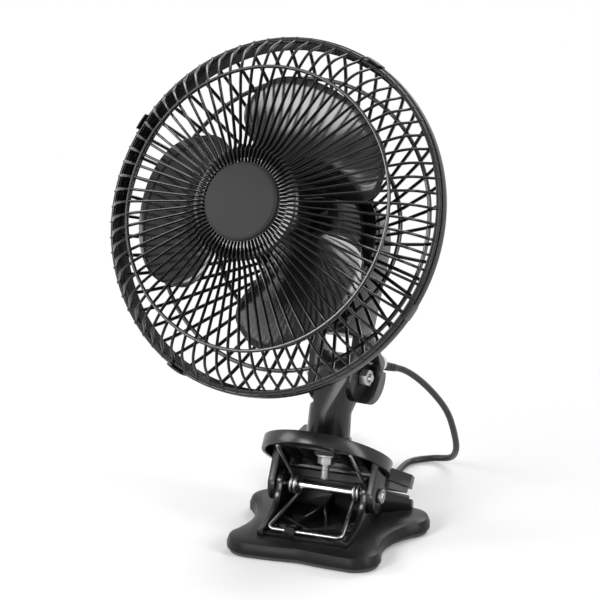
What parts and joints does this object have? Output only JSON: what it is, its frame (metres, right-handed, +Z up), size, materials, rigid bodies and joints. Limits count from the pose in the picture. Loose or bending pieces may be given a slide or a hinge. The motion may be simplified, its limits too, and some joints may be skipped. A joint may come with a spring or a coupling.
{
  "type": "clip fan",
  "caption": "Small desk fan whose round barred cage tilts and swivels on a short stem, carried by a sprung clip with a broad lobed foot that also stands on a table.",
  "frame": {"origin": "on the standing surface, under the middle of the foot between its front and rear lobes", "axes": "+Z up; the fan faces -Y; +X is the side the cord leaves from"},
  "size_m": [0.1952, 0.2444, 0.288],
  "materials": {
    "housing_plastic": "satin moulded",
    "guard_plastic": "semi-gloss moulded",
    "blade_plastic": "semi-gloss moulded",
    "trim_plastic": "satin",
    "grip_rubber": "matt",
    "sole_rubber": "matt",
    "bright_steel": "zinc plated",
    "dark_steel": "laminated",
    "copper_winding": "varnished copper wire",
    "brass": "sintered",
    "bushing_plastic": "satin",
    "cord_plastic": "satin"
  },
  "bodies": {
    "base": {"foot": "housing_plastic", "foot_sole": "sole_rubber", "lower_jaw": "guard_plastic", "lower_grip_pad": "grip_rubber", "clip_axle": "bright_steel", "axle_cap_left": "bright_steel", "axle_cap_right": "bright_steel", "clip_spring": "bright_steel", "cord_lead": "cord_plastic", "cord_coil": "cord_plastic", "cord_tail": "cord_plastic", "plug_body": "cord_plastic", "plug_pin_left": "brass", "plug_pin_right": "brass"},
    "jaw": {"upper_jaw": "housing_plastic", "upper_grip_pad": "grip_rubber"},
    "stem": {"stem": "housing_plastic", "swivel_bolt": "bright_steel", "swivel_washer": "bright_steel", "swivel_nut": "bright_steel"},
    "head": {"motor_housing": "housing_plastic", "motor_cover": "guard_plastic", "stator": "dark_steel", "winding_front": "copper_winding", "winding_rear": "copper_winding", "bearing_front": "brass", "bearing_rear": "brass", "motor_bracket": "dark_steel", "tilt_bolt": "bright_steel", "tilt_nut": "bright_steel", "front_guard": "guard_plastic", "rear_guard": "guard_plastic", "badge_cap": "trim_plastic", "rim_clip_1": "trim_plastic", "rim_clip_2": "trim_plastic", "rim_clip_3": "trim_plastic", "rim_clip_4": "trim_plastic", "cord_bushing": "bushing_plastic"},
    "fan_rotor": {"shaft": "bright_steel", "rotor": "dark_steel", "blades": "blade_plastic"},
    "rocker": {"switch_rocker": "trim_plastic"}
  },
  "joints": [
    {"name": "clip_hinge", "type": "hinge", "parent": "base", "child": "jaw", "pos_m": [0, 0.007, 0.027], "axis": [1, 0, 0], "range_deg": [0, 30], "stiffness_Nm_per_rad": 1.2, "springref_deg": -42.97, "deforming": ["clip_spring", "cord_lead"]},
    {"name": "stem_swivel", "type": "hinge", "parent": "jaw", "child": "stem", "pos_m": [0, 0.018, 0.091], "axis": [0, 0.2419, 0.9703], "range_deg": [-80, 80], "deforming": ["cord_lead"]},
    {"name": "head_tilt", "type": "hinge", "parent": "stem", "child": "head", "pos_m": [0, 0.018, 0.091], "axis": [0.9925, -0.1182, 0.0295], "range_deg": [-40, 50], "deforming": ["cord_lead"]},
    {"name": "blade_spin", "type": "hinge", "parent": "head", "child": "fan_rotor", "pos_m": [-0.01036, -0.04161, 0.20084], "axis": [-0.1177, -0.8676, 0.4831], "continuous": true},
    {"name": "speed_switch", "type": "hinge", "parent": "head", "child": "rocker", "pos_m": [0.00031, 0.03957, 0.16708], "axis": [0.9925, -0.1182, 0.0295], "range_deg": [-8, 8]}
  ]
}
